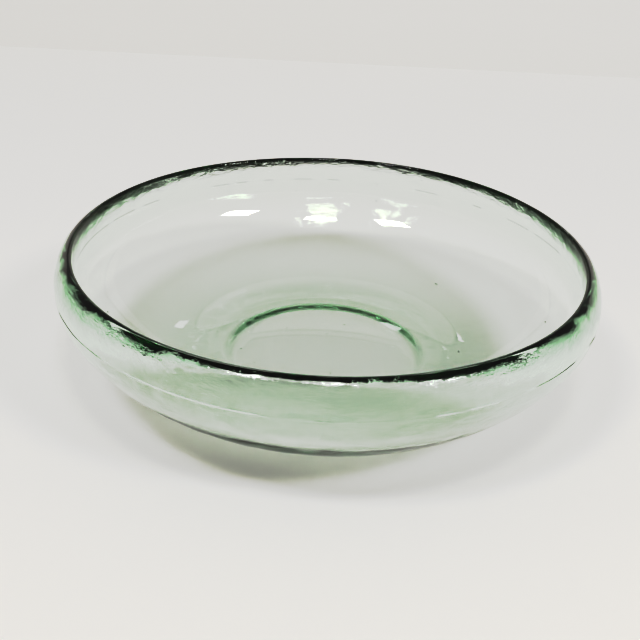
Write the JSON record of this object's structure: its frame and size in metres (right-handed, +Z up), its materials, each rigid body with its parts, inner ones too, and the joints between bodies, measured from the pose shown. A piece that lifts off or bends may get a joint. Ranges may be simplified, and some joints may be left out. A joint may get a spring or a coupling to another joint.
{
  "type": "glass bowl",
  "caption": "Wide shallow bowl of thick pale green clear glass, with an incurved brim, a rounded lip, a fine mould line round its widest part and a shallow hollow under its base.",
  "frame": {"origin": "centre of the ring-shaped tread under the base, on the surface the bowl stands on", "axes": "+Z up along the bowl's axis; X and Y are any two level directions, because the bowl is round"},
  "size_m": [0.3508, 0.3508, 0.088],
  "materials": {
    "green_glass": "thick clear glass with a pale green tint that turns dark green along the lip; fire-polished smooth inside, rippled by the mould outside"
  },
  "bodies": {
    "root": {"glass_bowl": "green_glass"}
  },
  "joints": []
}
